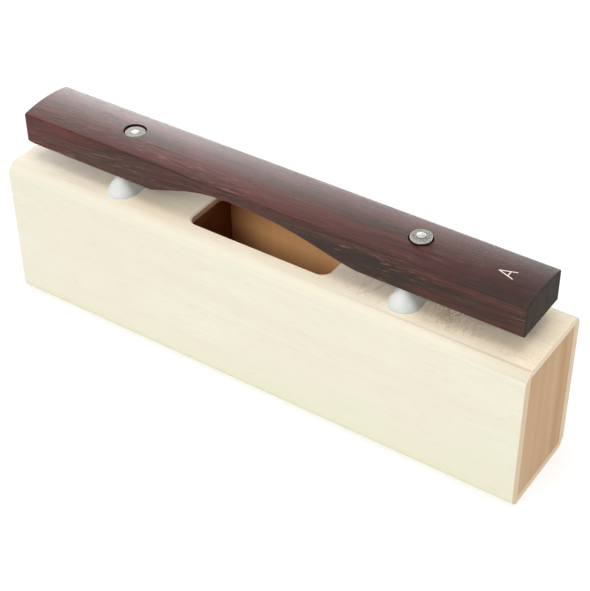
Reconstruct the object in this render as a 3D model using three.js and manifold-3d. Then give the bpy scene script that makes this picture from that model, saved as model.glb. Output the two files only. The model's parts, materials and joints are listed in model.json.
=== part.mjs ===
// Resonator bar: a rosewood tone bar that floats on two white supports above a closed wooden resonator box.
// Millimetres, +Z up. The origin is the middle of the box's underside.
// +X runs along the bar and -Y is the front.

import * as THREE from 'three';
import { mergeVertices } from 'three/addons/utils/BufferGeometryUtils.js';
import Module from 'manifold-3d';

const wasm = await Module();
wasm.setup();

// Resonator box
const boxLength = 361;
const boxWidth = 64;
const boxHeight = 99;
const boxEdgeRound = 8;
const topBoardThickness = 5;
const bottomBoardThickness = 5;
const sideBoardThickness = 6;
const endBoardThickness = 6;

// Sound slot in the top board, and the chamber under it
const slotLength = 98;
const slotWidth = 36;
const slotCornerRadius = 6.5;
const slotRimChamfer = 1;
const slotOffset = -1.8;
const chamberWallThickness = 5;
const chamberWallSetback = 0.5;

// Tone bar
const barLength = 344.6;
const barWidth = 39.4;
const barSideHeight = 20.2;
const barCrown = 2.3;
const barUpperEdgeRound = 1;
const barLowerEdgeRound = 1;
const barEndEase = 0.9;
const barOffset = -1.3;
const barSideOffset = 0.9;

// Arch cut in the bar's underside: a steep left flank, and a right one that runs out in a long flare
const archDepth = 13.5;
const archLeftClearance = 23.9;
const archRightClearance = 24.9;
const archPeakShare = 0.41;
const archLeftFoot = { along: 0.42, up: 0.58 };
const archLeftShoulder = 0.44;
const archRightShoulder = 0.55;
const archRightFoot = { along: 0.31, up: 0.22 };

// Tuning bevel filed under the bar's left end
const tuningBevelLength = 7;
const tuningBevelHeight = 1.5;

// Fixings, measured from the bar's ends and from its middle line to the pins
const leftPinInset = 71.4;
const rightPinInset = 74.8;
const rightPinRaise = 2.8;
const pinSideOffset = 0.4;

// Bar supports: a ridge with conical ends
const supportHeight = 12.3;
const supportWidth = 19;
const supportLength = 50.4;
const supportRidgeWidth = 2;
const supportFootHeight = 0.8;
const supportFlankFullness = 1.16;

// Pins
const pinShankDiameter = 2.8;
const pinHeadDiameter = 5.4;
const pinHeadRim = 0.6;
const pinHeadHeight = 1;
const pinLength = 52;
const pinPointLength = 5;
const pinBlockLength = 30;
const pinBlockHeight = 24;
const pinHoleClearance = 0.15;

// Soft sleeves round the pins, and the felt washers under their heads
const sleeveWall = 1.4;
const sleeveBoreClearance = 0.2;
const sleeveSupportClearance = 0.3;
const sleeveBarClearance = 1;
const washerDiameter = 13;
const washerThickness = 2;
const washerEdgeRound = 0.4;
const washerBoreClearance = 0.2;
const washerSeatDiameter = 14.2;
const washerSeatDepth = 4;
const liftPlay = 1;

// How deep each head is pressed into its washer, and the room round it there
const leftHeadSink = 0.9;
const rightHeadSink = 0.4;
const headSeatClearance = 0.3;

// Fineness of the round faces, in steps to each curve or turn
const cornerSteps = 14;
const archSteps = 22;
const crownSteps = 24;
const flankSteps = 7;
const edgeSteps = 3;
const domeSteps = 5;
const turnSteps = 40;
const pinTurnSteps = 24;

// How far a cutting solid reaches past the face that it opens
const cutOverrun = 2;

// Surfaces, as they look in daylight
const whiteWood = { color: 0xf1ead4, roughness: 0.62, metalness: 0 };
const topWood = { color: 0xe9dcc2, roughness: 0.6, metalness: 0 };
const endWood = { color: 0xc9a47f, roughness: 0.65, metalness: 0 };
const innerWood = { color: 0xc39a6b, roughness: 0.75, metalness: 0 };
const rosewood = { color: 0x4c2f2a, roughness: 0.42, metalness: 0 };
const whitePlastic = { color: 0xeef0ee, roughness: 0.38, metalness: 0 };
const greyFelt = { color: 0x8d8b86, roughness: 0.95, metalness: 0 };
const blackRubber = { color: 0x2b2a29, roughness: 0.8, metalness: 0 };
const brightMetal = { color: 0xe6e7e4, roughness: 0.25, metalness: 1 };

// Sizes that follow from the ones above
const halfLength = boxLength / 2;
const halfWidth = boxWidth / 2;
const innerHalfWidth = halfWidth - sideBoardThickness;
const ceiling = boxHeight - topBoardThickness;
const chamberLeft = slotOffset - slotLength / 2 - chamberWallSetback;
const chamberRight = slotOffset + slotLength / 2 + chamberWallSetback;
const leftPinX = barOffset - barLength / 2 + leftPinInset;
const rightPinX = barOffset + barLength / 2 - rightPinInset;
const pinLineY = barSideOffset + pinSideOffset;
const barThickness = barSideHeight + barCrown;
const pinShankRadius = pinShankDiameter / 2;
const sleeveBoreRadius = pinShankRadius + sleeveBoreClearance;
const sleeveRadius = sleeveBoreRadius + sleeveWall;
const supportBoreRadius = sleeveRadius + sleeveSupportClearance;
const barHoleRadius = sleeveRadius + sleeveBarClearance;
const leftSleeveHeight = supportHeight + barThickness - washerSeatDepth + liftPlay;
const rightSleeveHeight = leftSleeveHeight + rightPinRaise;
const leftHeadLevel = leftSleeveHeight + washerThickness - leftHeadSink;
const rightHeadLevel = rightSleeveHeight + washerThickness - rightHeadSink;

// Turns a closed three.js geometry into a solid that can be cut and joined
function solidOf(geometry) {
  const bare = geometry.clone();
  bare.deleteAttribute('normal');
  bare.deleteAttribute('uv');
  const welded = mergeVertices(bare);
  const corners = welded.index.array;
  const triangles = [];
  for (let i = 0; i < corners.length; i += 3) {
    const [a, b, c] = corners.slice(i, i + 3);
    if (a !== b && b !== c && c !== a) {
      triangles.push(a, b, c);
    }
  }
  return new wasm.Manifold(new wasm.Mesh({
    numProp: 3,
    vertProperties: Float32Array.from(welded.attributes.position.array),
    triVerts: Uint32Array.from(triangles),
  }));
}

// Gives a solid its name and finish
function pieceOf(name, solid, finish) {
  const { vertProperties, triVerts } = solid.getMesh();
  const geometry = new THREE.BufferGeometry();
  geometry.setAttribute('position', new THREE.BufferAttribute(vertProperties, 3));
  geometry.setIndex(new THREE.BufferAttribute(triVerts, 1));
  geometry.computeVertexNormals();
  const mesh = new THREE.Mesh(geometry, new THREE.MeshStandardMaterial(finish));
  mesh.name = name;
  return mesh;
}

// Extrudes an outline in the YZ plane along X, centred on x = 0
function alongX(outline, length, options) {
  const geometry = new THREE.ExtrudeGeometry(outline, { depth: length, bevelEnabled: false, ...options });
  geometry.applyMatrix4(new THREE.Matrix4().makeBasis(
    new THREE.Vector3(0, 1, 0),
    new THREE.Vector3(0, 0, 1),
    new THREE.Vector3(1, 0, 0),
  ));
  return geometry.translate(-length / 2, 0, 0);
}

// Extrudes an outline in the XZ plane along Y, centred on y = 0
function alongY(outline, length, options) {
  const geometry = new THREE.ExtrudeGeometry(outline, { depth: length, bevelEnabled: false, ...options });
  return geometry.rotateX(Math.PI / 2).translate(0, length / 2, 0);
}

// An upright cylinder from one height to another
function uprightCylinder(radius, bottom, top, steps) {
  const height = top - bottom;
  const geometry = new THREE.CylinderGeometry(radius, radius, height, steps);
  return geometry.rotateX(Math.PI / 2).translate(0, 0, bottom + height / 2);
}

// Turns a profile of radius and height round the Z axis
function turned(profile, steps) {
  return new THREE.LatheGeometry(profile, steps).rotateX(Math.PI / 2);
}

// Points along an arc, anticlockwise
function arc(x, y, radius, from, to, steps) {
  return new THREE.EllipseCurve(x, y, radius, radius, from, to).getPoints(steps);
}

// A rectangle with round corners, centred on its origin
function roundedRectangle(width, height, radius, steps) {
  const x = width / 2 - radius;
  const y = height / 2 - radius;
  const quarter = Math.PI / 2;
  return new THREE.Shape([
    ...arc(x, y, radius, 0, quarter, steps),
    ...arc(-x, y, radius, quarter, 2 * quarter, steps),
    ...arc(-x, -y, radius, 2 * quarter, 3 * quarter, steps),
    ...arc(x, -y, radius, 3 * quarter, 4 * quarter, steps),
  ]);
}

// The box's rounded outside, which every outer board is trimmed to
function boxEnvelope() {
  const outline = roundedRectangle(boxWidth, boxHeight, boxEdgeRound, cornerSteps);
  return alongX(outline, boxLength + 2 * cutOverrun).translate(0, 0, boxHeight / 2);
}

// A board between two corners of the box's frame, trimmed to the envelope and with its openings cut
function board(name, low, high, finish, cuts = []) {
  const size = high.clone().sub(low);
  const centre = low.clone().add(high).multiplyScalar(0.5);
  let solid = solidOf(new THREE.BoxGeometry(size.x, size.y, size.z));
  const envelope = boxEnvelope().translate(-centre.x, -centre.y, -centre.z);
  solid = solid.intersect(solidOf(envelope));
  for (const cut of cuts) {
    const local = cut.clone().translate(-centre.x, -centre.y, -centre.z);
    solid = solid.subtract(solidOf(local));
  }
  const mesh = pieceOf(name, solid, finish);
  mesh.position.copy(centre);
  return mesh;
}

// The sound slot, with a small chamfer round its upper rim
function slotCuts() {
  const outline = roundedRectangle(slotLength, slotWidth, slotCornerRadius, cornerSteps);
  const through = new THREE.ExtrudeGeometry(outline, {
    depth: topBoardThickness + 2 * cutOverrun,
    bevelEnabled: false,
  });
  through.translate(slotOffset, 0, ceiling - cutOverrun);
  const rim = new THREE.ExtrudeGeometry(outline, {
    depth: cutOverrun,
    bevelEnabled: true,
    bevelThickness: slotRimChamfer,
    bevelSize: slotRimChamfer,
    bevelSegments: 1,
  });
  rim.translate(slotOffset, 0, boxHeight);
  return [through, rim];
}

// The pin's hole in the top board and in the block under it, down to just past the pin's point
function pinHoleCut(pinX, headLevel) {
  const radius = pinShankRadius + pinHoleClearance;
  const bottom = boxHeight + headLevel - pinLength - pinHoleClearance;
  return uprightCylinder(radius, bottom, boxHeight + cutOverrun, pinTurnSteps).translate(pinX, pinLineY, 0);
}

function resonatorBox() {
  const group = new THREE.Group();
  const at = (x, y, z) => new THREE.Vector3(x, y, z);
  const leftPinHole = pinHoleCut(leftPinX, leftHeadLevel);
  const rightPinHole = pinHoleCut(rightPinX, rightHeadLevel);

  group.add(board(
    'top_board',
    at(-halfLength, -halfWidth, ceiling),
    at(halfLength, halfWidth, boxHeight),
    topWood,
    [...slotCuts(), leftPinHole, rightPinHole],
  ));
  group.add(board(
    'bottom_board',
    at(-halfLength, -halfWidth, 0),
    at(halfLength, halfWidth, bottomBoardThickness),
    whiteWood,
  ));
  group.add(board(
    'front_side_board',
    at(-halfLength, -halfWidth, bottomBoardThickness),
    at(halfLength, -innerHalfWidth, ceiling),
    whiteWood,
  ));
  group.add(board(
    'rear_side_board',
    at(-halfLength, innerHalfWidth, bottomBoardThickness),
    at(halfLength, halfWidth, ceiling),
    whiteWood,
  ));

  // The cross pieces fill the space between the side boards, from the floor or from the pin blocks' underside
  const crossPiece = (name, left, length, bottom, finish, cuts) => board(
    name,
    at(left, -innerHalfWidth, bottom),
    at(left + length, innerHalfWidth, ceiling),
    finish,
    cuts,
  );
  const crossBoard = (name, left, thickness, finish) => (
    crossPiece(name, left, thickness, bottomBoardThickness, finish)
  );
  const pinBlock = (name, pinX, hole) => (
    crossPiece(name, pinX - pinBlockLength / 2, pinBlockLength, ceiling - pinBlockHeight, innerWood, [hole])
  );
  group.add(
    crossBoard('left_end_board', -halfLength, endBoardThickness, endWood),
    crossBoard('right_end_board', halfLength - endBoardThickness, endBoardThickness, endWood),
    crossBoard('left_chamber_wall', chamberLeft - chamberWallThickness, chamberWallThickness, innerWood),
    crossBoard('right_chamber_wall', chamberRight, chamberWallThickness, innerWood),
    pinBlock('left_pin_block', leftPinX, leftPinHole),
    pinBlock('right_pin_block', rightPinX, rightPinHole),
  );
  return group;
}

// The bar's section: a flat underside, upright sides and a crowned top that meets them in a small round
function barSection() {
  const half = barWidth / 2;
  const crownRadius = (half ** 2 + barCrown ** 2) / (2 * barCrown);
  const crownCentre = barThickness - crownRadius;
  const upper = barUpperEdgeRound;
  const upperX = half - upper;
  const upperZ = crownCentre + Math.sqrt((crownRadius - upper) ** 2 - upperX ** 2);
  const turn = Math.atan2(upperZ - crownCentre, upperX);
  const lower = barLowerEdgeRound;
  return new THREE.Shape([
    ...arc(half - lower, lower, lower, -Math.PI / 2, 0, edgeSteps),
    ...arc(upperX, upperZ, upper, 0, turn, edgeSteps),
    ...arc(0, crownCentre, crownRadius, turn, Math.PI - turn, crownSteps).slice(1, -1),
    ...arc(-upperX, upperZ, upper, Math.PI - turn, Math.PI, edgeSteps),
    ...arc(lower - half, lower, lower, Math.PI, 1.5 * Math.PI, edgeSteps),
  ]);
}

// The arch, in the bar's own frame
function archCut() {
  const left = leftPinX - barOffset + archLeftClearance;
  const right = rightPinX - barOffset - archRightClearance;
  const peak = left + archPeakShare * (right - left);
  const leftReach = peak - left;
  const rightReach = right - peak;
  const outline = new THREE.Shape();
  outline.moveTo(left, -cutOverrun);
  outline.lineTo(left, 0);
  outline.bezierCurveTo(
    left + archLeftFoot.along * leftReach, archLeftFoot.up * archDepth,
    peak - archLeftShoulder * leftReach, archDepth,
    peak, archDepth,
  );
  outline.bezierCurveTo(
    peak + archRightShoulder * rightReach, archDepth,
    right - archRightFoot.along * rightReach, archRightFoot.up * archDepth,
    right, 0,
  );
  outline.lineTo(right, -cutOverrun);
  outline.closePath();
  return alongY(outline, barWidth + 2 * cutOverrun, { curveSegments: archSteps });
}

// The bevel under the left end, cut a bevel's length past that end
function tuningBevelCut() {
  const end = -barLength / 2;
  const outline = new THREE.Shape();
  outline.moveTo(end + tuningBevelLength, 0);
  outline.lineTo(end - tuningBevelLength, 2 * tuningBevelHeight);
  outline.lineTo(end - tuningBevelLength, -cutOverrun);
  outline.lineTo(end + tuningBevelLength, -cutOverrun);
  outline.closePath();
  return alongY(outline, barWidth + 2 * cutOverrun);
}

// A pin's hole through the bar and the seat above it, which its felt washer lies in
function barPinCuts(pinX) {
  const hole = uprightCylinder(barHoleRadius, -cutOverrun, barThickness, turnSteps);
  const seatFloor = barThickness - washerSeatDepth;
  const seat = uprightCylinder(washerSeatDiameter / 2, seatFloor, barThickness + cutOverrun, turnSteps);
  return [hole, seat].map((cut) => cut.translate(pinX - barOffset, pinSideOffset, 0));
}

function toneBar() {
  const core = alongX(barSection(), barLength - 2 * barEndEase, {
    bevelEnabled: true,
    bevelThickness: barEndEase,
    bevelSize: barEndEase,
    bevelOffset: -barEndEase,
    bevelSegments: edgeSteps,
  });
  let solid = solidOf(core);
  for (const cut of [archCut(), tuningBevelCut(), ...barPinCuts(leftPinX), ...barPinCuts(rightPinX)]) {
    solid = solid.subtract(solidOf(cut));
  }
  const mesh = pieceOf('tone_bar', solid, rosewood);
  mesh.position.set(barOffset, barSideOffset, boxHeight + supportHeight);
  return mesh;
}

// The support's flank, from its foot to half its ridge, as distance from the ridge line and height
function supportFlank() {
  const foot = supportWidth / 2;
  const ridge = supportRidgeWidth / 2;
  const points = [];
  for (let i = 0; i <= flankSteps; i += 1) {
    const rise = i / flankSteps;
    const spread = (1 - rise ** supportFlankFullness) ** (1 / supportFlankFullness);
    const height = supportFootHeight + rise * (supportHeight - supportFootHeight);
    points.push(new THREE.Vector2(ridge + spread * (foot - ridge), height));
  }
  return points;
}

// A ridge along Y with a half cone at each end, bored for the sleeve
function supportSolid() {
  const flank = supportFlank();
  const foot = new THREE.Vector2(supportWidth / 2, 0);
  const half = [foot, ...flank];
  const mirrored = half.map((point) => new THREE.Vector2(-point.x, point.y)).reverse();
  const endReach = (supportLength - supportWidth) / 2;
  const ridge = alongY(new THREE.Shape([...half, ...mirrored]), 2 * endReach);
  const cone = turned([new THREE.Vector2(0, 0), ...half, new THREE.Vector2(0, supportHeight)], turnSteps);
  const bore = uprightCylinder(supportBoreRadius, -cutOverrun, supportHeight + cutOverrun, turnSteps);
  return solidOf(ridge)
    .add(solidOf(cone.clone().translate(0, -endReach, 0)))
    .add(solidOf(cone.clone().translate(0, endReach, 0)))
    .subtract(solidOf(bore));
}

// A tube round the pin that stands on the box and carries the washer
function sleeveSolid(height) {
  const profile = [
    new THREE.Vector2(sleeveBoreRadius, 0),
    new THREE.Vector2(sleeveRadius, 0),
    new THREE.Vector2(sleeveRadius, height),
    new THREE.Vector2(sleeveBoreRadius, height),
    new THREE.Vector2(sleeveBoreRadius, 0),
  ];
  return solidOf(turned(profile, turnSteps));
}

// A felt ring with soft edges, from its underside up, with the seat that the pin's head is pressed into
function washerSolid(seatFloor) {
  const inner = pinShankRadius + washerBoreClearance;
  const outer = washerDiameter / 2;
  const section = roundedRectangle(outer - inner, washerThickness, washerEdgeRound, edgeSteps);
  const middle = new THREE.Vector2((inner + outer) / 2, washerThickness / 2);
  const profile = section.getPoints().map((point) => point.clone().add(middle));
  profile.push(profile[0]);
  const seatRadius = pinHeadDiameter / 2 + headSeatClearance;
  const seat = uprightCylinder(seatRadius, seatFloor, washerThickness + cutOverrun, turnSteps);
  return solidOf(turned(profile, turnSteps)).subtract(solidOf(seat));
}

// A pin with a low domed head, pointing down from the underside of its head
function pinSolid() {
  const headRadius = pinHeadDiameter / 2;
  const profile = [
    new THREE.Vector2(0, -pinLength),
    new THREE.Vector2(pinShankRadius, pinPointLength - pinLength),
    new THREE.Vector2(pinShankRadius, 0),
    new THREE.Vector2(headRadius, 0),
  ];
  for (let i = 0; i < domeSteps; i += 1) {
    const angle = (i / domeSteps) * (Math.PI / 2);
    const height = pinHeadRim + (pinHeadHeight - pinHeadRim) * Math.sin(angle);
    profile.push(new THREE.Vector2(headRadius * Math.cos(angle), height));
  }
  profile.push(new THREE.Vector2(0, pinHeadHeight));
  return solidOf(turned(profile, pinTurnSteps));
}

// One fixing: support, sleeve, washer and pin on the box's top
function fixing(side, pinX, sleeveHeight, headLevel) {
  const group = new THREE.Group();
  const support = pieceOf(`${side}_bar_support`, supportSolid(), whitePlastic);
  const sleeve = pieceOf(`${side}_pin_sleeve`, sleeveSolid(sleeveHeight), blackRubber);
  const washer = pieceOf(`${side}_felt_washer`, washerSolid(headLevel - sleeveHeight), greyFelt);
  const pin = pieceOf(`${side}_fixing_pin`, pinSolid(), brightMetal);
  washer.position.z = sleeveHeight;
  pin.position.z = headLevel;
  group.add(support, sleeve, washer, pin);
  group.position.set(pinX, pinLineY, boxHeight);
  return group;
}

const resonatorBar = new THREE.Group();
resonatorBar.add(
  resonatorBox(),
  toneBar(),
  fixing('left', leftPinX, leftSleeveHeight, leftHeadLevel),
  fixing('right', rightPinX, rightSleeveHeight, rightHeadLevel),
);

export default resonatorBar;
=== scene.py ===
"""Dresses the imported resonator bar: woods, plastic, felt, metal, a printed note letter, light and camera."""

import json
import math
from collections import namedtuple

import bmesh
import bpy
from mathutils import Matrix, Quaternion, Vector, noise

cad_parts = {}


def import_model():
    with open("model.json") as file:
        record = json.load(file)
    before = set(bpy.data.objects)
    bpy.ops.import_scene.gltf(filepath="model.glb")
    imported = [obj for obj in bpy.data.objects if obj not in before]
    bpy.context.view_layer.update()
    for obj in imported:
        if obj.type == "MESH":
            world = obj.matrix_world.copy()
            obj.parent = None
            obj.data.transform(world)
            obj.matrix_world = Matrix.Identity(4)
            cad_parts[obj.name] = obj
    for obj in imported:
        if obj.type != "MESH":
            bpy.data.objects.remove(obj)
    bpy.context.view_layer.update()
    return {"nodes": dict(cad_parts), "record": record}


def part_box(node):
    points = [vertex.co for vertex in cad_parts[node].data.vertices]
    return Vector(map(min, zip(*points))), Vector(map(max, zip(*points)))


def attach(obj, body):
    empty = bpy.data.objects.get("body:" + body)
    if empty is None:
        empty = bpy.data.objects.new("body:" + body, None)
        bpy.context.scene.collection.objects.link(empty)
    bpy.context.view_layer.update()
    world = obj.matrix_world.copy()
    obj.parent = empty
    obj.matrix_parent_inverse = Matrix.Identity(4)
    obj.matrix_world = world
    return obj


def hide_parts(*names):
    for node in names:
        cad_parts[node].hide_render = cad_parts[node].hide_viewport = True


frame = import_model()

MM = 0.001
BOX = "resonator_box"
BAR = "floating_bar"
SIDES = ("left", "right")

# The bar's measurements. The crown is how far its top rises from its long edges to its middle.
BAR_LOW, BAR_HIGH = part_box("tone_bar")
BAR_MIDDLE_Y = (BAR_LOW.y + BAR_HIGH.y) / 2
BAR_CROWN = 2.3 * MM

# The top board is as long and as wide as the box, whose long edges are rounded by this much
TOP_LOW, TOP_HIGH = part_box("top_board")
EDGE_ROUND = 8.0 * MM

# The sawn ends of bar and boards are coloured to this depth
END_SKIN = 0.4 * MM


def pair(kind):
    """The names of the left and the right piece of one kind."""
    return [f"{side}_{kind}" for side in SIDES]


def pin_axis(side):
    """Where a fixing pin stands on the plane of the floor."""
    low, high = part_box(f"{side}_fixing_pin")
    return ((low.x + high.x) / 2, (low.y + high.y) / 2, 0.0)


PIN_AXES = {side: pin_axis(side) for side in SIDES}


def srgb(red, green, blue):
    """A colour as the eye names it, 0 to 255, in the linear values that shaders use."""

    def linear(value):
        value /= 255
        return value / 12.92 if value <= 0.04045 else ((value + 0.055) / 1.055) ** 2.4

    return (linear(red), linear(green), linear(blue), 1.0)


class Finish:
    """A material under construction. Each method adds nodes and returns the socket with their result."""

    def __init__(self, name, **surface):
        self.material = bpy.data.materials.new(name)
        self.material.use_nodes = True
        self.tree = self.material.node_tree
        self.shader = next(n for n in self.tree.nodes if n.type == "BSDF_PRINCIPLED")
        for socket, value in surface.items():
            self.shader.inputs[socket.replace("_", " ")].default_value = value
        self.position = self.tree.nodes.new("ShaderNodeTexCoord").outputs["Object"]

    def feed(self, socket, value):
        if isinstance(value, bpy.types.NodeSocket):
            self.tree.links.new(value, socket)
        else:
            socket.default_value = value

    def node(self, kind, output=0, inputs=None, **settings):
        made = self.tree.nodes.new(kind)
        for name, value in settings.items():
            setattr(made, name, value)
        for name, value in (inputs or {}).items():
            self.feed(made.inputs[name], value)
        return made.outputs[output]

    def stretch(self, scale, shift=(0, 0, 0), turn=0.0):
        """Coordinates in cycles per metre along each axis, turned about the upright one."""
        inputs = {"Vector": self.position, "Rotation": (0, 0, turn), "Scale": scale, "Location": shift}
        return self.node("ShaderNodeMapping", inputs=inputs)

    def noise(self, vector, detail=4.0, roughness=0.55, distortion=0.0):
        inputs = {
            "Vector": vector,
            "Scale": 1.0,
            "Detail": detail,
            "Roughness": roughness,
            "Distortion": distortion,
        }
        return self.node("ShaderNodeTexNoise", output="Fac", inputs=inputs)

    def math(self, operation, *values):
        return self.node("ShaderNodeMath", inputs=dict(enumerate(values)), operation=operation)

    def times(self, first, *others):
        """The product of two or more values."""
        product = first
        for value in others:
            product = self.math("MULTIPLY", product, value)
        return product

    def apart(self, value, middle=0.0):
        """How far a value lies from a middle one, to either side."""
        return self.math("ABSOLUTE", self.math("SUBTRACT", value, middle))

    def remap(self, value, low, high, to_low=0.0, to_high=1.0):
        inputs = {
            "Value": value,
            "From Min": low,
            "From Max": high,
            "To Min": to_low,
            "To Max": to_high,
        }
        return self.node("ShaderNodeMapRange", inputs=inputs, clamp=True)

    def split(self):
        """The places along X, Y and Z."""
        made = self.tree.nodes.new("ShaderNodeSeparateXYZ")
        self.feed(made.inputs[0], self.position)
        return tuple(made.outputs)

    def join(self, x, y, z):
        return self.node("ShaderNodeCombineXYZ", inputs={"X": x, "Y": y, "Z": z})

    def ramp(self, value, stops):
        made = self.tree.nodes.new("ShaderNodeValToRGB")
        elements = made.color_ramp.elements
        while len(elements) < len(stops):
            elements.new(0.5)
        for element, (place, colour) in zip(elements, stops):
            element.position = place
            element.color = colour
        self.feed(made.inputs[0], value)
        return made.outputs[0]

    def mix(self, share, first, second):
        made = self.tree.nodes.new("ShaderNodeMix")
        made.data_type = "RGBA"
        self.feed(made.inputs["Factor"], share)
        self.feed(made.inputs[6], first)
        self.feed(made.inputs[7], second)
        return made.outputs[2]

    def veil(self, colour, tint, value, begin, full, share=1.0, where=None):
        """Lays a tint over a colour: none of it where the value is at begin, the whole share where it is at
        full. A mask can thin it further."""
        amount = self.remap(value, begin, full, 0.0, share)
        if where is not None:
            amount = self.times(amount, where)
        return self.mix(amount, colour, tint)

    def bump(self, height, strength, distance):
        inputs = {"Height": height, "Strength": strength, "Distance": distance}
        return self.node("ShaderNodeBump", inputs=inputs)

    def away_from_pin(self, side):
        """How far a point lies from one fixing pin's axis."""
        level = {0: self.position, 1: (1, 1, 0)}
        flat = self.node("ShaderNodeVectorMath", inputs=level, operation="MULTIPLY")
        ends = {0: flat, 1: PIN_AXES[side]}
        return self.node("ShaderNodeVectorMath", output="Value", inputs=ends, operation="DISTANCE")

    def finish(self, colour, roughness, normal=None):
        self.feed(self.shader.inputs["Base Color"], colour)
        self.feed(self.shader.inputs["Roughness"], roughness)
        if normal is not None:
            self.feed(self.shader.inputs["Normal"], normal)
        return self.material


# The heart of the tree that the bar was sawn from is a line beside and below the bar, at a slant to it
HEART_Y = -85 * MM
HEART_Z = 60 * MM
HEART_SLANT_Y = -0.012
HEART_SLANT_Z = 0.062

# How far noise moves the tree's growth layers, in broad waves and in ripples
LAYER_WANDER = 14 * MM
LAYER_RIPPLE = 1.6 * MM

# The darkest wood lies this near to the heart, fades out over the next stretch, and wanders with the layers
DARK_SPAN = 89.5 * MM
DARK_FADE = 11 * MM
DARK_WANDER = 6 * MM

# The bar's flanks turn into its crowned top over this height, just below the crown's foot
CROWN_BLEND = 1 * MM

# Bands along the bar's top, as places across it from its middle line: where each begins, and where it is full
RED_BAND = (-1 * MM, -11 * MM)
GREY_BAND = (-5 * MM, 5 * MM)
CALM_BAND = (-12 * MM, 4 * MM)
NEAR_STRIP = (-6 * MM, -13 * MM)

# Stretches along the bar: where each begins, and where it is full
REDDENING = (BAR_LOW.x, 0.0)
GREYING = (0.0, -50 * MM)
WARMING = (-50 * MM, 50 * MM)
FLANK_WARMING = (-90 * MM, -140 * MM)
FLANK_FADING = (-142 * MM, -165 * MM)
STRIP_DARKENING = (0.0, 150 * MM)
END_DARKENING = (85 * MM, 158 * MM)

# Handling has darkened this much of the bar at each end
HANDLED_REACH = 4 * MM

# Painted shade darkens the bar's wood inside the pins' seats, up to just past their walls
SEAT_RADIUS = 7.1 * MM
SEAT_BLEND = 0.213 * MM

ROSEWOOD_TONES = (
    (0.37, srgb(42, 26, 20)),
    (0.45, srgb(68, 35, 28)),
    (0.54, srgb(92, 43, 36)),
    (0.63, srgb(58, 33, 26)),
)
ROSEWOOD_TINTS = {
    "red cloud": srgb(104, 36, 32),
    "brown cloud": srgb(62, 46, 30),
    "red band": srgb(108, 36, 30),
    "grey band": srgb(56, 38, 33),
    "warm right": srgb(112, 50, 42),
    "warm flank": srgb(120, 46, 30),
    "near the heart": srgb(46, 30, 20),
    "olive": srgb(66, 50, 38),
    "dark band": srgb(30, 17, 14),
    "light band": srgb(116, 62, 52),
    "vein": srgb(23, 13, 10),
    "hair": srgb(26, 15, 11),
    "dash": srgb(146, 98, 90),
    "light fibre": srgb(110, 66, 50),
    "dark fibre": srgb(24, 14, 10),
    "calm dark": srgb(52, 34, 29),
    "calm light": srgb(88, 46, 39),
    "dark end": srgb(38, 19, 17),
    "near strip": srgb(40, 14, 13),
    "pore": srgb(14, 8, 6),
    "sawn dark": srgb(22, 18, 13),
    "sawn light": srgb(66, 53, 37),
    "handled": srgb(48, 40, 29),
    # The seat tint is painted shade inside the pins' seats
    "seat": srgb(26, 17, 11),
}


def growth_layers(f, x, y, z):
    """A maker of noise drawn out along the tree's growth layers, and a wandering distance from its heart."""
    wander = f.noise(f.stretch((7, 26, 26)), detail=3)
    ripple = f.noise(f.stretch((24, 110, 110), shift=(3, 1, 4)), detail=2)
    beside = f.math("SUBTRACT", y, f.math("MULTIPLY_ADD", x, HEART_SLANT_Y, HEART_Y))
    above = f.math("SUBTRACT", z, f.math("MULTIPLY_ADD", x, HEART_SLANT_Z, HEART_Z))
    span = f.math("SQRT", f.math("ADD", f.math("POWER", beside, 2.0), f.math("POWER", above, 2.0)))
    ring = f.math("ADD", span, f.times(wander, LAYER_WANDER))
    ring = f.math("ADD", ring, f.times(ripple, LAYER_RIPPLE))
    inner = f.math("ADD", span, f.times(wander, DARK_WANDER))

    def layers(along, across, seed, **more):
        """Noise with this many cycles per metre along the bar and across the layers."""
        return f.noise(f.join(f.times(x, along), f.times(ring, across), seed), **more)

    return layers, inner


def rosewood_clouds(f, colour, x, across, crowned, inner):
    """Broad reddish, greyish and brownish areas, most of them on the crowned top or on the flanks alone."""
    tints = ROSEWOOD_TINTS
    flanks = f.math("SUBTRACT", 1.0, crowned)
    warmth = f.noise(f.stretch((9, 45, 45), shift=(5, 3, 7)), detail=3, roughness=0.6)
    colour = f.veil(colour, tints["red cloud"], warmth, 0.50, 0.64, share=0.6)
    colour = f.veil(colour, tints["brown cloud"], warmth, 0.46, 0.32, share=0.6)
    reddened = f.times(crowned, f.remap(x, *REDDENING, 0.5, 1.0))
    colour = f.veil(colour, tints["red band"], across, *RED_BAND, share=0.34, where=reddened)
    greyed = f.times(crowned, f.remap(x, *GREYING))
    colour = f.veil(colour, tints["grey band"], across, *GREY_BAND, share=0.30, where=greyed)
    colour = f.veil(colour, tints["warm right"], x, *WARMING, share=0.22, where=crowned)
    warmed = f.times(flanks, f.remap(x, *FLANK_FADING, 1.0, 0.2))
    colour = f.veil(colour, tints["warm flank"], x, *FLANK_WARMING, share=0.45, where=warmed)
    colour = f.veil(colour, tints["near the heart"], inner, DARK_SPAN + DARK_FADE, DARK_SPAN, share=0.5)
    olive = f.noise(f.stretch((15, 75, 75), shift=(6, 4, 1)), detail=3, roughness=0.6)
    return f.veil(colour, tints["olive"], olive, 0.50, 0.60, share=0.65, where=flanks)


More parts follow.
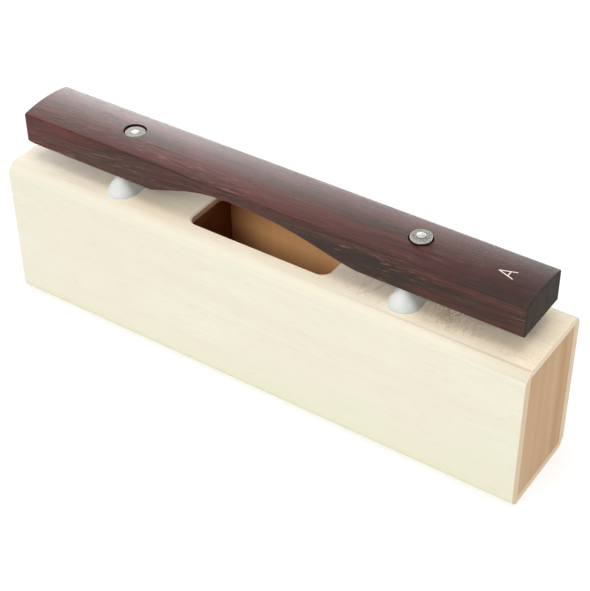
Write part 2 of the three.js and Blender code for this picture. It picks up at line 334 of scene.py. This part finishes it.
def rosewood_streaks(f, colour, layers, fibre):
    """Bands, black veins and hairs along the growth layers, short pale dashes in patches, and fine fibres."""
    tints = ROSEWOOD_TINTS
    bands = layers(8.0, 330.0, 2.0, detail=4, roughness=0.65)
    veins = layers(9.0, 950.0, 3.0, detail=3, roughness=0.6)
    hairs = layers(18.0, 2300.0, 5.0, detail=2)
    dashes = layers(75.0, 1500.0, 4.0, detail=2)
    patches = f.noise(f.stretch((13, 60, 60), shift=(2, 8, 1)), detail=2)
    colour = f.veil(colour, tints["dark band"], bands, 0.50, 0.64, share=0.62)
    colour = f.veil(colour, tints["light band"], bands, 0.45, 0.32, share=0.35)
    colour = f.veil(colour, tints["vein"], veins, 0.54, 0.63, share=0.8)
    colour = f.veil(colour, tints["hair"], hairs, 0.50, 0.64, share=0.55)
    in_patches = f.remap(patches, 0.48, 0.64, 0.06, 0.7)
    colour = f.veil(colour, tints["dash"], dashes, 0.57, 0.67, where=in_patches)
    colour = f.veil(colour, tints["light fibre"], fibre, 0.45, 0.75, share=0.22)
    return f.veil(colour, tints["dark fibre"], fibre, 0.48, 0.25, share=0.40)


def rosewood_crown(f, colour, x, across, crowned):
    """The crowned top's calmer colour, mottled towards the rear, dark at the right end and the near edge."""
    tints = ROSEWOOD_TINTS
    mottle = f.noise(f.stretch((20, 110, 110), shift=(8, 2, 6)), detail=3, roughness=0.6)
    calm = f.veil(tints["calm dark"], tints["calm light"], mottle, 0.36, 0.64)
    calmed = f.times(crowned, f.remap(across, *CALM_BAND, 0.10, 0.65))
    colour = f.mix(calmed, colour, calm)
    colour = f.veil(colour, tints["dark end"], x, *END_DARKENING, share=0.60, where=crowned)
    darkened = f.times(crowned, f.remap(x, *STRIP_DARKENING))
    return f.veil(colour, tints["near strip"], across, *NEAR_STRIP, share=0.70, where=darkened)


def near_bar_ends(f, x, begin, full):
    """A mask that grows towards both of the bar's ends, from one distance off them to another."""
    right = f.remap(x, BAR_HIGH.x - begin, BAR_HIGH.x - full)
    left = f.remap(x, BAR_LOW.x + begin, BAR_LOW.x + full)
    return f.math("MAXIMUM", right, left)


def seat_shade_mask(f):
    """A mask for the seats that the felt washers lie in, where shade is painted into the bar's wood."""
    masks = [f.remap(f.away_from_pin(side), SEAT_RADIUS + SEAT_BLEND, SEAT_RADIUS) for side in SIDES]
    return f.math("MAXIMUM", *masks)


def rosewood():
    """Dark reddish wood: growth layers askew to the bar, mottled streaks, black veins and open pores."""
    f = Finish("rosewood_oiled", Specular_IOR_Level=0.28)
    tints = ROSEWOOD_TINTS
    x, y, z = f.split()
    across = f.math("SUBTRACT", y, BAR_MIDDLE_Y)
    crown_foot = BAR_HIGH.z - BAR_CROWN
    crowned = f.remap(z, crown_foot - CROWN_BLEND, crown_foot)
    fibre = f.noise(f.stretch((110, 2400, 2400)), detail=3, roughness=0.7)
    pore = f.remap(f.noise(f.stretch((170, 1700, 1700), shift=(1, 5, 2)), detail=1), 0.60, 0.69)
    layers, inner = growth_layers(f, x, y, z)

    colour = f.ramp(layers(4.5, 85.0, 1.0, detail=4, roughness=0.6), ROSEWOOD_TONES)
    colour = rosewood_clouds(f, colour, x, across, crowned, inner)
    colour = rosewood_streaks(f, colour, layers, fibre)
    colour = rosewood_crown(f, colour, x, across, crowned)
    colour = f.mix(f.times(pore, 0.6), colour, tints["pore"])

    ends = near_bar_ends(f, x, END_SKIN, END_SKIN / 2)
    rings = f.noise(f.stretch((0, 150, 55), shift=(3, 3, 3)), detail=4, roughness=0.65)
    sawn = f.veil(tints["sawn dark"], tints["sawn light"], rings, 0.40, 0.64)
    colour = f.mix(f.times(ends, 0.85), colour, sawn)
    handled = near_bar_ends(f, x, HANDLED_REACH, 0.0)
    colour = f.mix(f.times(handled, 0.5), colour, tints["handled"])
    # Painted shade inside the pins' seats
    colour = f.mix(f.times(seat_shade_mask(f), 0.8), colour, tints["seat"])

    roughness = f.math("MAXIMUM", f.remap(fibre, 0.2, 0.8, 0.35, 0.51), f.times(ends, 0.75))
    relief = f.math("SUBTRACT", f.times(fibre, 0.5), pore)
    return f.finish(colour, roughness, f.bump(relief, strength=0.35, distance=0.12 * MM))


# The box's faces that lie closer to its middle than these places, and lower than this height, are inside it
SKIN = 0.05 * MM
INSIDE = Vector((
    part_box("right_end_board")[0].x + SKIN,
    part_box("rear_side_board")[0].y + SKIN,
    TOP_LOW.z + SKIN,
))

# The boards' inner faces, and the cross pieces between them, darkened as painted shade
CHAMBER_LIGHT = srgb(240, 188, 132)
CHAMBER_DARK = srgb(232, 176, 118)
CROSS_LIGHT = srgb(132, 74, 30)
CROSS_DARK = srgb(104, 54, 18)

# The boards' inner faces carry painted shade beside the left chamber wall, over this length
CHAMBER_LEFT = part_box("left_chamber_wall")[1].x
CORNER_SHADE_REACH = 32 * MM

# A pale wood: where its noise starts, its colours, how strong its long figure and its cool clouds are, and
# whether its grain is upright
Wood = namedtuple("Wood", "seed face shade fleck tint figure_share cool_share upright")

SIDE_WOOD = Wood(
    seed=(0.0, 0.0, 0.0),
    face=srgb(229, 226, 208),
    shade=srgb(225, 219, 198),
    fleck=srgb(208, 194, 164),
    tint=srgb(228, 218, 201),
    figure_share=0.8,
    cool_share=0.45,
    upright=False,
)
SIDE_ENDS = srgb(230, 204, 170)
# Painted shade for the rounded upper edges
SIDE_EDGE_SHADE = srgb(221, 218, 199)
COOL_CLOUD = srgb(220, 225, 199)
# A yellower, slightly darker tone towards the box's lower edges
LOW_EDGE_TINT = srgb(222, 220, 186)

TOP_WOOD = Wood(
    seed=(5.0, 3.0, 8.0),
    face=srgb(239, 232, 214),
    shade=srgb(235, 223, 200),
    fleck=srgb(166, 140, 110),
    tint=srgb(237, 226, 208),
    figure_share=0.8,
    cool_share=0.0,
    upright=False,
)
TOP_ENDS = srgb(242, 226, 200)
# Painted shade for the rounded upper edges
TOP_EDGE_SHADE = srgb(216, 210, 191)

END_WOOD = Wood(
    seed=(2.0, 7.0, 4.0),
    face=srgb(208, 174, 132),
    shade=srgb(188, 146, 100),
    fleck=srgb(168, 128, 87),
    tint=srgb(216, 176, 142),
    figure_share=1.0,
    cool_share=0.0,
    upright=True,
)

# The cross flecks of the top's wood: their turn against the grain, and where along the box they crowd
FLECK_TURN = math.radians(14)
DARK_FLECK = srgb(156, 122, 92)
WARM_FLECK = srgb(184, 150, 116)
FLECKED_X = 140 * MM
FLECKED_REACH = 46 * MM
FLECKED_CORE = 0.4 * FLECKED_REACH

# Thin curled lines across the top's wood, and where along the box they lie
CURL = srgb(184, 134, 112)
CURLED_X = 75 * MM
CURLED_REACH = 26 * MM
CURLED_CORE = 0.5 * CURLED_REACH

# The top's wood carries painted warm bounce light under the bar, from this far beside it, and along this
# stretch
UNDER_BAR_BOUNCE = srgb(244, 222, 186)
UNDER_BAR_BLEND = 8 * MM
UNDER_BAR_STRETCH = (-140 * MM, -80 * MM)

# Where the top begins to darken with age towards its right end
AGED_X = 135 * MM

# A dark crease along the top's rounded edges, this far in from the box's sides
CREASE_INSET = 0.62 * EDGE_ROUND
CREASE_WIDTH = 0.13 * EDGE_ROUND

# Bands beside the box's long edges, as distances from its sides, its top or its underside: where each begins,
# and where it is full
FLAT_TOP_INSETS = (0.9 * EDGE_ROUND, 1.4 * EDGE_ROUND)
ROUNDED_INSETS = (1.2 * EDGE_ROUND, 0.4 * EDGE_ROUND)
ROUNDED_DEPTHS = (1.3 * EDGE_ROUND, 0.7 * EDGE_ROUND)
LOW_TINT_HEIGHTS = (1.8 * EDGE_ROUND, 0.3 * EDGE_ROUND)

# The sound slot's sawn walls lie below its rim, up to this far past the box that the record gives for its air
SLOT_AIR = next(o["box_m"] for o in frame["record"]["physics"]["openings"] if o["name"] == "sound_slot")
SLOT_WALL = srgb(182, 142, 112)
SLOT_WALL_REACH = 4 * MM
SLOT_RIM = 1 * MM


def inner_fibre(f):
    """Noise of fine upright fibres, for the wood inside the box."""
    return f.noise(f.stretch((1500, 1500, 50), shift=(9, 1, 3)), detail=2)


def inner_colour(f, light, dark):
    """Unfinished wood with its grain upright, the colour of the faces inside the box."""
    grain = f.noise(f.stretch((90, 90, 5), shift=(9, 1, 3)), detail=3)
    colour = f.veil(light, dark, grain, 0.30, 0.70)
    return f.veil(colour, dark, inner_fibre(f), 0.45, 0.75, share=0.15)


def inner_wood():
    """The cross pieces inside the box, darker than the boards' inner faces as painted shade."""
    f = Finish("inner_wood", Specular_IOR_Level=0.2)
    fibre = inner_fibre(f)
    colour = inner_colour(f, CROSS_LIGHT, CROSS_DARK)
    roughness = f.remap(fibre, 0.3, 0.7, 0.7, 0.85)
    return f.finish(colour, roughness, f.bump(fibre, strength=0.3, distance=0.1 * MM))


def close_grain(f, wood):
    """Pale close-grained wood, its grain along X or upright: its colour, and the noise of its fibres."""

    def grain(along, across, **more):
        """Noise with this many cycles per metre along the grain and across it."""
        sizes = (across, across, along) if wood.upright else (along, across, across)
        return f.noise(f.stretch(sizes, shift=wood.seed), **more)

    figure = grain(2, 68, detail=4, distortion=0.5)
    fibre = grain(60, 1800, detail=3, roughness=0.65)
    cloud = f.noise(f.stretch((7, 12, 12), shift=wood.seed), detail=2)
    broad = f.noise(f.stretch((26, 9, 9), shift=wood.seed), detail=2)
    cool = f.noise(f.stretch((5, 16, 16), shift=wood.seed), detail=3)
    ticks = f.noise(f.stretch((110, 620, 620), shift=wood.seed), detail=3, distortion=0.4)

    colour = f.veil(wood.face, wood.shade, figure, 0.38, 0.68, share=wood.figure_share)
    colour = f.veil(colour, wood.shade, cloud, 0.35, 0.75, share=0.4)
    colour = f.veil(colour, wood.fleck, fibre, 0.48, 0.78, share=0.30)
    colour = f.veil(colour, wood.tint, broad, 0.40, 0.65, share=0.5)
    colour = f.veil(colour, COOL_CLOUD, cool, 0.50, 0.66, share=wood.cool_share)
    return f.veil(colour, wood.fleck, ticks, 0.58, 0.70, share=0.22), fibre


def cross_flecks(f, colour, x, on_flat):
    """Short dark flecks across the grain, crowded near the right end: the colour, and how strong they are."""
    ray_cloud = f.noise(f.stretch((16, 34, 34), shift=(7, 2, 5)), detail=2)
    turned = f.stretch((300, 140, 300), shift=TOP_WOOD.seed, turn=FLECK_TURN)
    rays = f.noise(turned, detail=2, roughness=0.6, distortion=0.8)
    beside = f.remap(f.apart(x, FLECKED_X), FLECKED_REACH, FLECKED_CORE)
    clustered = f.times(beside, f.remap(ray_cloud, 0.38, 0.56, 0.15, 1.0), 0.8, on_flat)
    colour = f.mix(f.times(clustered, 0.20), colour, WARM_FLECK)
    flecks = f.times(f.remap(f.apart(rays, 0.5), 0.09, 0.015), clustered)
    return f.mix(flecks, colour, DARK_FLECK), flecks


def curled_lines(f, colour, x, on_flat):
    """A few thin, curled lines on the top, to the right of the slot."""
    curls = f.noise(f.stretch((210, 62, 62), shift=(1, 6, 2)), detail=1, distortion=0.9)
    curls = f.remap(f.apart(curls, 0.5), 0.036, 0.0)
    near_curls = f.times(f.remap(f.apart(x, CURLED_X), CURLED_REACH, CURLED_CORE, 0.0, 0.55), on_flat)
    return f.mix(f.times(curls, near_curls), colour, CURL)


def from_middle(insets):
    """Distances from the box's middle, for distances in from its sides."""
    return [TOP_HIGH.y - inset for inset in insets]


def heights(depths):
    """Heights, for depths below the box's top."""
    return [TOP_HIGH.z - depth for depth in depths]


def shaded_roundings(f, colour, away, z, edge):
    """Painted shade on the rounding along the box's upper edges, which tones down the light that it catches.
    """
    sideways = f.remap(away, *from_middle(ROUNDED_INSETS))
    upwards = f.remap(z, *heights(ROUNDED_DEPTHS))
    return f.mix(f.times(sideways, upwards, 0.8), colour, edge)


def sawn_ends(f, colour, x, wood, end_grain):
    """The end faces of boards whose grain runs along X, with fine saw marks."""
    saw = f.noise(f.stretch((300, 1800, 500), shift=wood.seed), detail=3)
    sawn = f.veil(end_grain, wood.fleck, saw, 0.35, 0.70, share=0.4)
    ends = f.remap(f.apart(x), TOP_HIGH.x - END_SKIN, TOP_HIGH.x - END_SKIN / 2)
    return f.mix(ends, colour, sawn)


def inner_faces(f, colour, x, y, z):
    """Warmer, unfinished wood inside the box, with painted shade next to the left chamber wall."""
    inside = f.times(
        f.math("LESS_THAN", f.apart(x), INSIDE.x),
        f.math("LESS_THAN", f.apart(y), INSIDE.y),
        f.math("LESS_THAN", z, INSIDE.z),
    )
    chamber = inner_colour(f, CHAMBER_LIGHT, CHAMBER_DARK)
    # Painted shade in the corner beside the left chamber wall
    chamber = f.veil(chamber, CROSS_LIGHT, x, CHAMBER_LEFT + CORNER_SHADE_REACH, CHAMBER_LEFT, share=0.85)
    return f.mix(inside, colour, chamber)


def slot_walls(f, colour, x, y, z):
    """The sawn walls of the sound slot, in their own darker colour, with painted shade that deepens towards
    the chamber.
    """
    (left, front, _), (right, rear, _) = SLOT_AIR
    within = f.times(
        f.math("COMPARE", x, (left + right) / 2, (right - left) / 2 + SLOT_WALL_REACH),
        f.math("COMPARE", y, (front + rear) / 2, (rear - front) / 2 + SLOT_WALL_REACH),
    )
    rim = TOP_HIGH.z - SLOT_RIM
    sunk = f.times(f.math("LESS_THAN", z, rim), within)
    # Sawn-wall colour, with painted shade growing deeper into the slot
    return f.mix(f.times(sunk, f.remap(z, rim, TOP_LOW.z, 0.6, 1.0)), colour, SLOT_WALL)


def board_finish(f, colour, fibre, flecks=0.0):
    """A satin surface with a faint relief of fibres and sunken flecks."""
    roughness = f.remap(fibre, 0.2, 0.8, 0.50, 0.66)
    relief = f.math("SUBTRACT", f.times(fibre, 0.6), flecks)
    return f.finish(colour, roughness, f.bump(relief, strength=0.22, distance=0.10 * MM))


def side_wood():
    """The long sides and the bottom: the palest, coolest wood, yellower and a little darker towards its lower
    edges.
    """
    f = Finish("pale_side_wood", Specular_IOR_Level=0.3)
    x, y, z = f.split()
    colour, fibre = close_grain(f, SIDE_WOOD)
    # Painted shade on the rounded upper edges
    colour = shaded_roundings(f, colour, f.apart(y), z, SIDE_EDGE_SHADE)
    # Yellower and a little darker towards the lower edges
    colour = f.veil(colour, LOW_EDGE_TINT, z, *LOW_TINT_HEIGHTS, share=0.65)
    colour = sawn_ends(f, colour, x, SIDE_WOOD, SIDE_ENDS)
    colour = inner_faces(f, colour, x, y, z)
    return board_finish(f, colour, fibre)


def top_wood():
    """The top: warmer wood with cross flecks and curled lines, creased, aged at the right, and slotted."""
    f = Finish("pale_top_wood", Specular_IOR_Level=0.3)
    x, y, z = f.split()
    away = f.apart(y)
    on_flat = f.remap(away, *from_middle(FLAT_TOP_INSETS))
    colour, fibre = close_grain(f, TOP_WOOD)
    colour, flecks = cross_flecks(f, colour, x, on_flat)
    # Painted shade on the rounded upper edges
    colour = shaded_roundings(f, colour, away, z, TOP_EDGE_SHADE)
    colour = f.veil(colour, TOP_WOOD.fleck, x, AGED_X, TOP_HIGH.x, share=0.2)
    off_crease = f.apart(away, TOP_HIGH.y - CREASE_INSET)
    creased = f.remap(x, 0.0, TOP_HIGH.x, 0.0, 0.6)
    colour = f.veil(colour, TOP_WOOD.fleck, off_crease, CREASE_WIDTH, 0.0, where=creased)
    colour = sawn_ends(f, colour, x, TOP_WOOD, TOP_ENDS)
    colour = inner_faces(f, colour, x, y, z)
    colour = curled_lines(f, colour, x, on_flat)
    # Painted warm bounce light in the bar's shade on the top
    blend_end = BAR_HIGH.y + UNDER_BAR_BLEND
    warmed = f.remap(x, *UNDER_BAR_STRETCH)
    colour = f.veil(colour, UNDER_BAR_BOUNCE, away, blend_end, BAR_HIGH.y, share=0.35, where=warmed)
    colour = slot_walls(f, colour, x, y, z)
    return board_finish(f, colour, fibre, flecks)


def end_wood():
    """The two end boards: tan wood with its grain upright."""
    f = Finish("tan_end_wood", Specular_IOR_Level=0.3)
    colour, fibre = close_grain(f, END_WOOD)
    colour = inner_faces(f, colour, *f.split())
    return board_finish(f, colour, fibre)


def white_plastic():
    """Satin white moulded plastic with a faint orange-peel skin, softened by the light that enters it."""
    f = Finish(
        "white_moulded_plastic",
        Specular_IOR_Level=0.22,
        Subsurface_Weight=0.6,
        Subsurface_Scale=5 * MM,
    )
    skin = f.noise(f.stretch((900, 900, 900)), detail=2)
    soil = f.noise(f.stretch((120, 120, 160)), detail=3)
    colour = f.veil(srgb(214, 216, 214), srgb(198, 200, 196), soil, 0.45, 0.80, share=0.5)
    roughness = f.remap(soil, 0.3, 0.7, 0.46, 0.58)
    return f.finish(colour, roughness, f.bump(skin, strength=0.15, distance=0.05 * MM))


def black_rubber():
    """Dull black rubber with some dust."""
    f = Finish("black_rubber", Specular_IOR_Level=0.3)
    dust = f.noise(f.stretch((400, 400, 400)), detail=3)
    colour = f.veil(srgb(30, 29, 28), srgb(52, 50, 48), dust, 0.4, 0.8)
    roughness = f.remap(dust, 0.3, 0.7, 0.7, 0.9)
    return f.finish(colour, roughness, f.bump(dust, strength=0.2, distance=0.05 * MM))


FELT_TONES = (
    (0.36, srgb(46, 47, 42)),
    (0.46, srgb(90, 91, 84)),
    (0.56, srgb(134, 134, 126)),
    (0.66, srgb(174, 172, 164)),
)
FELT_SPECK = srgb(222, 218, 212)
# A painted highlight for the felt's rim, and painted light for the left washer
FELT_EDGE_HIGHLIGHT = srgb(210, 202, 195)
FELT_LEFT_LIGHT = srgb(222, 214, 210)

# A highlight is painted on the felt between these two distances from its pin, and painted light pales it from
# the bar's middle to this place along X
FELT_RIM_REACH = (5.6 * MM, 6.3 * MM)
FELT_LIGHT_X = -10 * MM


def grey_felt():
    """Pressed felt of mixed light and dark fibres, with a painted highlight at its cut rim and painted light
    on the left.
    """
    f = Finish("grey_felt", Specular_IOR_Level=0.15, Sheen_Weight=0.3, Sheen_Roughness=0.6)
    x, _, _ = f.split()
    tufts = f.noise(f.stretch((1100, 1100, 1100)), detail=4, roughness=0.7)
    specks = f.noise(f.stretch((2300, 2300, 2300), shift=(4, 2, 9)), detail=2)
    reach = f.math("MINIMUM", *(f.away_from_pin(side) for side in SIDES))
    colour = f.ramp(tufts, FELT_TONES)
    colour = f.veil(colour, FELT_SPECK, specks, 0.56, 0.66, share=0.8)
    # Painted highlight along the felt's rim
    colour = f.veil(colour, FELT_EDGE_HIGHLIGHT, reach, *FELT_RIM_REACH, share=0.6)
    # Painted light on the left washer
    colour = f.veil(colour, FELT_LEFT_LIGHT, x, 0.0, FELT_LIGHT_X, share=0.25)
    return f.finish(colour, 0.95, f.bump(tufts, strength=0.6, distance=0.25 * MM))


def bright_metal():
    """White metal with fine handling marks."""
    f = Finish("bright_metal", Metallic=1.0)
    marks = f.noise(f.stretch((900, 900, 300)), detail=4)
    colour = f.veil(srgb(188, 189, 186), srgb(170, 171, 168), marks, 0.4, 0.7)
    roughness = f.remap(marks, 0.3, 0.7, 0.45, 0.60)
    return f.finish(colour, roughness, f.bump(marks, strength=0.1, distance=0.02 * MM))


def note_ink():
    """Slightly worn printing ink."""
    f = Finish("note_ink", Specular_IOR_Level=0.4)
    wear = f.noise(f.stretch((700, 2200, 2200)), detail=3)
    colour = f.veil(srgb(236, 220, 216), srgb(168, 140, 134), wear, 0.55, 0.75, share=0.6)
    return f.finish(colour, f.remap(wear, 0.3, 0.7, 0.45, 0.6))


def floor_finish():
    """A matt floor with a glow of its own, which lifts it to white."""
    f = Finish(
        "pale_floor",
        Specular_IOR_Level=0.0,
        Emission_Color=(1.0, 1.0, 1.0, 1.0),
        Emission_Strength=0.57,
    )
    cloud = f.noise(f.stretch((2, 2, 2)), detail=2)
    return f.finish(f.mix(cloud, srgb(176, 176, 176), srgb(173, 173, 173)), 0.8)


GREY_FELT = grey_felt()

# Each finish, the carried-over nodes that wear it, and how wide their sharp edges are eased
DRESSES = (
    (top_wood(), ["top_board"], 0.12 * MM),
    (side_wood(), ["bottom_board", "front_side_board", "rear_side_board"], 0.12 * MM),
    (end_wood(), pair("end_board"), 0.12 * MM),
    (inner_wood(), pair("chamber_wall") + pair("pin_block"), 0.2 * MM),
    (rosewood(), ["tone_bar"], 0.35 * MM),
    (white_plastic(), pair("bar_support"), 0.25 * MM),
    (black_rubber(), pair("pin_sleeve"), 0.15 * MM),
    (bright_metal(), pair("fixing_pin"), 0.0),
)
EASE_ANGLE = math.radians(38)
WELD_DISTANCE = 0.002 * MM


def dress(node, material, ease):
    """Gives a CAD node its finish, welds its facets for smooth shading and eases its sharp edges."""
    piece = frame["nodes"][node]
    piece.data.materials.clear()
    piece.data.materials.append(material)
    for name in ("custom_normal", "sharp_face", "sharp_edge"):
        if name in piece.data.attributes:
            piece.data.attributes.remove(piece.data.attributes[name])
    for polygon in piece.data.polygons:
        polygon.use_smooth = True
    weld = piece.modifiers.new("weld", "WELD")
    weld.merge_threshold = WELD_DISTANCE
    if ease:
        bevel = piece.modifiers.new("ease", "BEVEL")
        bevel.width = ease
        bevel.segments = 2
        bevel.limit_method = "ANGLE"
        bevel.angle_limit = EASE_ANGLE
        bevel.use_clamp_overlap = True
    shade = piece.modifiers.new("shade", "WEIGHTED_NORMAL")
    shade.keep_sharp = True


for material, nodes, ease in DRESSES:
    for node in nodes:
        dress(node, material, ease)


def new_object(name, shape, material):
    """Turns a bmesh into an object of the scene."""
    mesh = bpy.data.meshes.new(name)
    shape.to_mesh(mesh)
    shape.free()
    mesh.materials.append(material)
    made = bpy.data.objects.new(name, mesh)
    bpy.context.scene.collection.objects.link(made)
    return made


def new_piece(name, shape, material, body):
    """Turns a bmesh into a smooth piece that rides on a body."""
    piece = new_object(name, shape, material)
    for polygon in piece.data.polygons:
        polygon.use_smooth = True
    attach(piece, body)
    return piece


# Felt washers: how many steps round and across, and how far the pressed fibres stand in and out
FELT_TURN_STEPS = 96
FELT_SECTION_STEPS = 36
FELT_BORE_RADIUS = 1.6 * MM
FELT_ROUGHNESS = 0.16 * MM
FELT_SQUARENESS = 5.0
FELT_TUFTS_PER_METRE = 900.0

# Each pin's head, this high, is pressed into its felt, which rises again over a short slope beside it
HEAD_HEIGHT = 1.0 * MM
FELT_PRESS_SLOPE = 0.6 * MM
FELT_PRESS_GAP = 0.04 * MM


def smooth_step(value):
    """Eases a value from 0 to 1, and holds it at both."""
    value = min(max(value, 0.0), 1.0)
    return value * value * (3 - 2 * value)


def pressed_lid(side, top):
    """A function that gives the felt's greatest height at a distance from its pin."""
    head_low, head_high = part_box(f"{side}_fixing_pin")
    head_radius = (head_high.x - head_low.x) / 2
    head_floor = head_high.z - HEAD_HEIGHT - FELT_PRESS_GAP

    def lid(radius):
        slope = (radius - head_radius - FELT_PRESS_GAP) / FELT_PRESS_SLOPE
        return head_floor + smooth_step(slope) * (top - head_floor)

    return lid


def felt_section():
    """The corners of the felt's squarish section: each one's direction, and its reach in that direction."""
    corners = []
    for i in range(FELT_SECTION_STEPS):
        angle = 2 * math.pi * i / FELT_SECTION_STEPS
        c, s = math.cos(angle), math.sin(angle)
        size = (abs(c) ** FELT_SQUARENESS + abs(s) ** FELT_SQUARENESS) ** (-1 / FELT_SQUARENESS)
        corners.append((c, s, size))
    return corners


def join_rings(shape, rings):
    """Closes a ring of rings with faces, so that they bound a solid."""
    for ring, following in zip(rings, rings[1:] + rings[:1]):
        for j, corner in enumerate(ring):
            k = (j + 1) % len(ring)
            shape.faces.new((corner, following[j], following[k], ring[k]))
    bmesh.ops.recalc_face_normals(shape, faces=shape.faces)


def felt_washer(side):
    """A ring of pressed felt with soft, uneven edges, a little inside the space of its plain solid."""
    node = f"{side}_felt_washer"
    low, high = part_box(node)
    centre = (low + high) / 2
    outer = (high.x - low.x) / 2 - FELT_ROUGHNESS
    ring_middle = (outer + FELT_BORE_RADIUS) / 2
    reach = (outer - FELT_BORE_RADIUS) / 2
    half_height = (high.z - low.z) / 2 - FELT_ROUGHNESS
    lid = pressed_lid(side, high.z)
    shape = bmesh.new()
    rings = []
    for i in range(FELT_TURN_STEPS):
        turn = 2 * math.pi * i / FELT_TURN_STEPS
        ring = []
        for c, s, size in felt_section():
            radius = ring_middle + reach * c * size
            height = half_height * s * size
            place = centre + Vector((radius * math.cos(turn), radius * math.sin(turn), height))
            push = FELT_ROUGHNESS * noise.noise(place * FELT_TUFTS_PER_METRE)
            place += push * Vector((c * math.cos(turn), c * math.sin(turn), s))
            place.z = min(place.z, lid(radius))
            ring.append(shape.verts.new(place))
        rings.append(ring)
    join_rings(shape, rings)
    piece = new_piece(f"{side}_felt_ring", shape, GREY_FELT, BOX)
    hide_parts(node)


for side in SIDES:
    felt_washer(side)


# The note letter, printed across the bar near its right end, with its head towards the left
LETTER_CENTRE = Vector((149.4 * MM, -0.6 * MM))
LETTER_HEIGHT = 9.6 * MM
LETTER_WIDTH = 6.4 * MM
LETTER_STROKE = 0.6 * MM
INK_LIFT = 0.05 * MM
INK_STEP = 0.5 * MM

# How far up its legs the letter's crossbar lies, as a share of their length
LETTER_CROSSBAR = 0.36


def crown_height(y):
    """The height of the bar's crowned top at a place across it."""
    half = (BAR_HIGH.y - BAR_LOW.y) / 2
    radius = (half**2 + BAR_CROWN**2) / (2 * BAR_CROWN)
    return BAR_HIGH.z - radius + math.sqrt(radius**2 - (y - BAR_MIDDLE_Y) ** 2)


def letter_stroke(shape, start, end):
    """A strip of ink from start to end, given along and across the bar, that follows the crown."""
    way = end - start
    steps = max(2, round(way.length / INK_STEP))
    aside = Vector((-way.y, way.x)).normalized() * LETTER_STROKE / 2
    rows = []
    for i in range(steps + 1):
        middle = start + way * i / steps
        row = []
        for edge in (middle - aside, middle + aside):
            row.append(shape.verts.new((edge.x, edge.y, crown_height(edge.y) + INK_LIFT)))
        rows.append(row)
    for (a, b), (c, d) in zip(rows, rows[1:]):
        shape.faces.new((a, c, d, b))


def note_letter():
    """A plain pointed capital, the name of the bar's note."""
    shape = bmesh.new()
    head = LETTER_CENTRE + Vector((-LETTER_HEIGHT / 2, 0))
    near_foot = LETTER_CENTRE + Vector((LETTER_HEIGHT / 2, -LETTER_WIDTH / 2))
    far_foot = LETTER_CENTRE + Vector((LETTER_HEIGHT / 2, LETTER_WIDTH / 2))
    letter_stroke(shape, near_foot, head)
    letter_stroke(shape, far_foot, head)
    near_join = near_foot.lerp(head, LETTER_CROSSBAR)
    far_join = far_foot.lerp(head, LETTER_CROSSBAR)
    letter_stroke(shape, near_join, far_join)
    new_piece("note_letter", shape, note_ink(), BAR)


note_letter()

# What all the lamps face
MIDDLE = Vector((0.0, 0.0, 0.06))


def area_light(name, place, size, power, mirrored_only=False):
    """A soft rectangular lamp that the camera doesn't see directly. With mirrored_only it shows in
    reflections alone."""
    data = bpy.data.lights.new(name, "AREA")
    data.shape = "RECTANGLE"
    data.size, data.size_y = size
    data.energy = power
    lamp = bpy.data.objects.new(name, data)
    lamp.location = place
    lamp.rotation_mode = "QUATERNION"
    lamp.rotation_quaternion = (MIDDLE - Vector(place)).to_track_quat("-Z", "Y")
    lamp.visible_camera = False
    lamp.visible_diffuse = not mirrored_only
    bpy.context.scene.collection.objects.link(lamp)


# A large key from the front, a soft overhead lamp and a fill from behind
area_light("key", (-0.3, -2.2, 1.9), size=(2.0, 0.9), power=38)
area_light("overhead", (0.1, -0.1, 1.8), size=(1.4, 1.4), power=18)
area_light("rear_fill", (0.7, 1.9, 1.1), size=(1.2, 0.8), power=13)

# Two low panels behind at the left, which draw the sheen along the bar's crown and leave the rear its colour
area_light("backdrop", (-1.46, 1.12, 0.76), size=(1.3, 1.15), power=27, mirrored_only=True)
area_light("rim", (-0.75, 1.6, 0.30), size=(1.2, 0.35), power=13, mirrored_only=True)

WORLD_STRENGTH = 0.45


def world():
    """An even white surrounding."""
    studio = bpy.data.worlds.new("studio")
    bpy.context.scene.world = studio
    studio.use_nodes = True
    background = studio.node_tree.nodes["Background"]
    background.inputs["Color"].default_value = (1.0, 1.0, 1.0, 1.0)
    background.inputs["Strength"].default_value = WORLD_STRENGTH


world()

# Half the floor's width, in metres
FLOOR_REACH = 6.0


def floor():
    """A flat floor that is scenery alone."""
    shape = bmesh.new()
    bmesh.ops.create_grid(shape, x_segments=1, y_segments=1, size=FLOOR_REACH)
    new_object("studio_floor", shape, floor_finish())


floor()

# Where the camera stands, what it looks along, and its lens on a 36 mm wide sensor
CAMERA_PLACE = Vector((0.4060, -0.5726, 0.6122))
CAMERA_AIM = Vector((-0.4418, 0.6450, -0.6236))
CAMERA_ROLL = math.radians(-0.6)
CAMERA_LENS = 90.56
SENSOR_WIDTH = 36.0

# It sees what lies between these distances, in metres
CLIP_NEAR = 0.01
CLIP_FAR = 20.0


def camera():
    """The camera at the photograph's place and angle, without depth of field."""
    data = bpy.data.cameras.new("camera")
    data.lens = CAMERA_LENS
    data.sensor_width = SENSOR_WIDTH
    data.clip_start = CLIP_NEAR
    data.clip_end = CLIP_FAR
    made = bpy.data.objects.new("camera", data)
    made.location = CAMERA_PLACE
    made.rotation_mode = "QUATERNION"
    level = CAMERA_AIM.to_track_quat("-Z", "Y")
    made.rotation_quaternion = level @ Quaternion((0, 0, 1), CAMERA_ROLL)
    bpy.context.scene.collection.objects.link(made)
    bpy.context.scene.camera = made


camera()
bpy.context.scene.view_settings.view_transform = "Standard"
